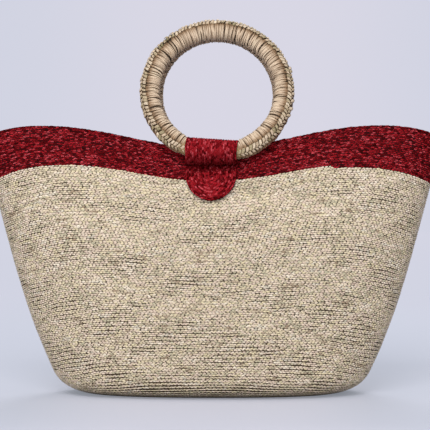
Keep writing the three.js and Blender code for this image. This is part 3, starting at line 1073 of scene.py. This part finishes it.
def patch_row(shift, inset):
    """A U-shaped line on the front patch, inside its edge: places on the wall, outward directions, and how
    far off the wall the patch stands, so that the loop clears it at rest and folded."""
    half = TAB_WIDTH / 2 - inset
    round_part = TAB_ROUND - inset
    arc = np.linspace(math.pi, 2 * math.pi, PATCH_ARC_POINTS)
    straight = np.linspace(0, TAB_DROP, PATCH_SIDE_POINTS)
    left, right = (np.full(PATCH_SIDE_POINTS, end) for end in (-half, half))
    x = np.concatenate([left, half * np.cos(arc), right])
    down = np.concatenate([straight, TAB_DROP - round_part * np.sin(arc), straight[::-1]])
    z = np.interp(down, np.arange(len(patch_height)) * SLIDE_STEP, patch_height)
    sideways = (face_depth(x + PROBE, z) - face_depth(x - PROBE, z)) / (2 * PROBE)
    upward = (face_depth(x, z + PROBE) - face_depth(x, z - PROBE)) / (2 * PROBE)
    outward = unit(np.stack([-sideways, np.full(len(x), -1.0), -upward], 1))
    wall = np.stack([x, -face_depth(x, z), z], 1)
    fade = np.clip((PATCH_SWELL_END - down) / (PATCH_SWELL_END - PATCH_SWELL_TOP), 0, 1)
    swell = fade ** SWELL_FADE_POWER * (1 - (2 * x / TAB_WIDTH) ** SWELL_SIDE_POWER)
    lift = PATCH_STACK + PATCH_SWELL * swell
    for _ in range(int((PATCH_STACK + PATCH_SWELL) / LIFT_STEP)):
        place = wall + outward * lift[:, None]
        y, height = place[:, 1] + axis_depth, place[:, 2] - AXIS_HEIGHT
        angle = np.arctan2(y, height) - ring_lean
        reach = np.maximum(loop_reach(x, shift, angle), loop_reach(x, shift, angle + FOLD_ANGLE))
        lift = np.where(np.hypot(y, height) < reach + SEWN_GAP, lift - LIFT_STEP, lift)
    return wall, outward, lift


def patch_rows(shift):
    """Rows on the patch from its edge inwards, and one over its edge."""
    rows = []
    for i in range(PATCH_ROWS + 1):
        wall, outward, lift = patch_row(shift, (i + 0.5) * PATCH_ROW_WIDTH)
        shown = lift > PATCH_LEAST_LIFT
        points = wall + outward * (lift - PLAIT_SINK)[:, None]
        rows.append((points[shown], outward[shown], np.full(shown.sum(), PATCH_ROW_WIDTH)))
    wall, outward, lift = patch_row(shift, PLAIT_SINK)
    shown = lift > TAB_THICKNESS
    points = wall + outward * (lift - TAB_THICKNESS / 2)[:, None]
    away = unit(np.cross(np.gradient(points, axis=0), outward))
    rows.append((points[shown], away[shown], np.full(shown.sum(), TAB_THICKNESS)))
    return rows


def patch_core(name, shift, matrix, edge, top, bottom):
    """A ply behind the patch's strands, from its middle to this far inside its edge. top and bottom are how
    far its two faces stand off the wall at most."""
    insets = [(i + 0.5) * PATCH_ROW_WIDTH for i in range(PATCH_ROWS, 0, -1)] + [edge]
    lines = [patch_row(shift, inset) for inset in insets]
    grids = []
    for most in (top, bottom):
        grid = [wall + outward * np.minimum(lift - PATCH_CORE_DEPTH, most)[:, None]
                for wall, outward, lift in lines]
        grids.append(turned(np.array(grid), matrix))
    return closed_shell(name, *grids, tab_backing, False)


PLY = TAB_THICKNESS + SEWN_GAP
STITCH_BEND = LACING_WIDTH ** 2 / (2 * RING_TUBE_RADIUS)

for number, side in enumerate(("front", "back")):
    shift = RING_SHIFT if side == "front" else -RING_SHIFT
    matrix = handle_matrix(side)
    place = side_matrix(side)
    handle = side + "_handle"
    seed = 50 + 10 * number

    cover = side + "_ring_cover"
    settle(ring_bed(side + "_ring_bed", shift, matrix), handle, "handle_palm", cover)
    wraps = grown(side + "_ring_wraps", wound_cover, [moved(ring_row(shift, 0, 0, 1), matrix)], True,
                  {"Seed": seed, "Palm": handle_palm})
    settle(wraps, handle, "handle_palm", cover)
    row = moved(ring_row(shift, SLIT_TURN, RING_TUBE_RADIUS + STITCH_RISE, LACING_WIDTH), matrix)
    stitches = sew(side + "_ring_stitches", [row], lacing_palm, seed=seed + 1, closed=True,
                   pitch=STITCH_PITCH, Strand_Overlap=0.84, Strand_Height=0.54, Slant=0.5, Crown=0.0016,
                   Looseness=0.22, Shingle=0.0, Bend=STITCH_BEND)
    settle(stitches, handle, "lacing_palm", side + "_ring_lacing")

    loop = side + "_tab_loop"
    settle(loop_shell(side + "_loop_shell", shift, matrix), handle, "dyed_palm", loop)
    rows = [moved(row, matrix) for row in loop_rows(shift)]
    plait = sew(side + "_loop_plait", rows, loop_shaded_palm, seed=seed + 3, closed=True, pitch=DYED_PITCH)
    settle(plait, handle, "dyed_palm", loop)

    outer, under = side + "_tab_outer_ply", side + "_tab_under_ply"
    core = patch_core(side + "_patch_core", shift, place, PATCH_CORE_INSET, 2 * PATCH_STACK, PLY)
    settle(core, "bag", "dyed_palm", outer)
    core = patch_core(side + "_under_patch", shift, place, UNDER_PLY_INSET, PLY, SEWN_GAP)
    settle(core, "bag", "dyed_palm", under)
    rows = [moved(row, place) for row in patch_rows(shift)]
    plait = sew(side + "_patch_plait", rows, dyed_palm, seed=seed + 4, pitch=DYED_PITCH)
    settle(plait, "bag", "dyed_palm", outer)

for side in ("front", "back"):
    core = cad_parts[side + "_ring_core"]
    core.data.materials.clear()
    core.data.materials.append(core_cane)


# Stage, lights and camera

STAGE_TONE = (0.42, 0.42, 0.48)
# Painted light seen on the floor and backdrop: a glow near the bag, and a tone brighter in the middle than
# to the sides.
NEAR_GLOW_MIDDLE = (0.23, 0.235, 0.26)
NEAR_GLOW_SIDE = (0.165, 0.19, 0.22)
MIDDLE_TONE = (0.69, 0.68, 0.78)
SIDE_TONE = (0.64, 0.655, 0.76)
FLOOR_REACH = 15
FLOOR_FADE = (0.6, 2.0)
FLOOR_SIDE_RANGE = (0.04, 0.2)
FLOOR_SIDE_EASE = 0.5
GLOW_SIDE_RANGE = (0.06, 0.22)
SKY_SIDE_RANGE = (0.04, 0.16)
SKY_LIGHT = (0.49, 0.495, 0.515)
LAMP_AIM = (0, 0, 0.2)
LAMPS = (
    ("key_lamp", (-0.25, -2.15, 1.6), 1.6, 44),
    ("fill_lamp", (-0.3, -2.5, 0.35), 1.0, 26),
    ("back_lamp", (0.3, 2.1, 2.2), 1.6, 37),
)
CAMERA_DISTANCE = 1.6
CAMERA_HEIGHT = 0.192
CAMERA_TURN = math.radians(0.8)
CAMERA_ASIDE = 0.0034
VIEW_WIDTH = 0.4644
SENSOR_WIDTH = 36


def seen_rays(make):
    """1 for what the camera sees straight, in a reflection or through glass, and 0 for light on the bag."""
    rays = make.add("ShaderNodeLightPath", {})
    return rays + rays.out("Is Glossy Ray") + rays.out("Is Transmission Ray")


def studio_floor():
    """Pale floor that takes the bag's shadow, and fades into the tone of the studio. What the camera sees of
    it
    has painted light added: a glow near the bag, brighter in the middle.
    """
    corners = [(x * FLOOR_REACH, y * FLOOR_REACH, 0) for x, y in ((-1, -1), (1, -1), (1, 1), (-1, 1))]
    mesh = bpy.data.meshes.new("studio_floor")
    mesh.from_pydata(corners, [], [(0, 1, 2, 3)])
    shade = Shade("studio_floor")
    place = shade.add("ShaderNodeSeparateXYZ", {}, shade.add("ShaderNodeTexCoord", {}).out("Object"))
    reach = (place ** 2 + place.out("Y") ** 2) ** 0.5
    far = reach.between(*FLOOR_FADE)
    aside = (abs(place) / (reach + FLOOR_SIDE_EASE)).between(*FLOOR_SIDE_RANGE)
    studio = shade.mix(aside, MIDDLE_TONE, SIDE_TONE)
    shade.give("Base Color", shade.mix(far, STAGE_TONE, (0, 0, 0)))
    shade.give("Roughness", 0.9)
    shade.give("Specular IOR Level", 0)
    glow = shade.mix(abs(place).between(*GLOW_SIDE_RANGE), NEAR_GLOW_MIDDLE, NEAR_GLOW_SIDE)
    shade.give("Emission Color", shade.mix(seen_rays(shade), (0, 0, 0), shade.mix(far, glow, studio)))
    shade.give("Emission Strength", 1)
    mesh.materials.append(shade.material)
    return new_object("studio_floor", mesh)


def studio_world():
    """Even light from all round. What is seen of it is the studio's tone with painted light, a little darker
    to the sides.
    """
    world = bpy.data.worlds.new("studio")
    world.use_nodes = True
    make = Maker(world.node_tree)
    aside = abs(make.add("ShaderNodeSeparateXYZ", {}, make.add("ShaderNodeTexCoord", {})))
    studio = make.mix(aside.between(*SKY_SIDE_RANGE), MIDDLE_TONE, SIDE_TONE)
    background = world.node_tree.nodes["Background"]
    make.feed(background.inputs["Color"], make.mix(seen_rays(make), SKY_LIGHT, studio))
    bpy.context.scene.world = world


def area_light(name, place, size, power):
    lamp = bpy.data.lights.new(name, "AREA")
    lamp.shape = "DISK"
    lamp.size = size
    lamp.energy = power
    light = bpy.data.objects.new(name, lamp)
    light.location = place
    light.rotation_euler = (Vector(LAMP_AIM) - Vector(place)).to_track_quat("-Z", "Y").to_euler()
    light.visible_camera = False
    bpy.context.scene.collection.objects.link(light)


studio_floor()
studio_world()
for lamp in LAMPS:
    area_light(*lamp)

camera_data = bpy.data.cameras.new("camera")
camera_data.sensor_width = SENSOR_WIDTH
camera_data.lens = SENSOR_WIDTH * CAMERA_DISTANCE / VIEW_WIDTH
camera = bpy.data.objects.new("camera", camera_data)
look = Vector((-math.sin(CAMERA_TURN), math.cos(CAMERA_TURN), 0))
aim = Vector((CAMERA_ASIDE, 0, CAMERA_HEIGHT))
camera.location = aim - look * CAMERA_DISTANCE
camera.rotation_euler = look.to_track_quat("-Z", "Y").to_euler()
bpy.context.scene.collection.objects.link(camera)
bpy.context.scene.camera = camera
bpy.context.scene.view_settings.view_transform = "Standard"
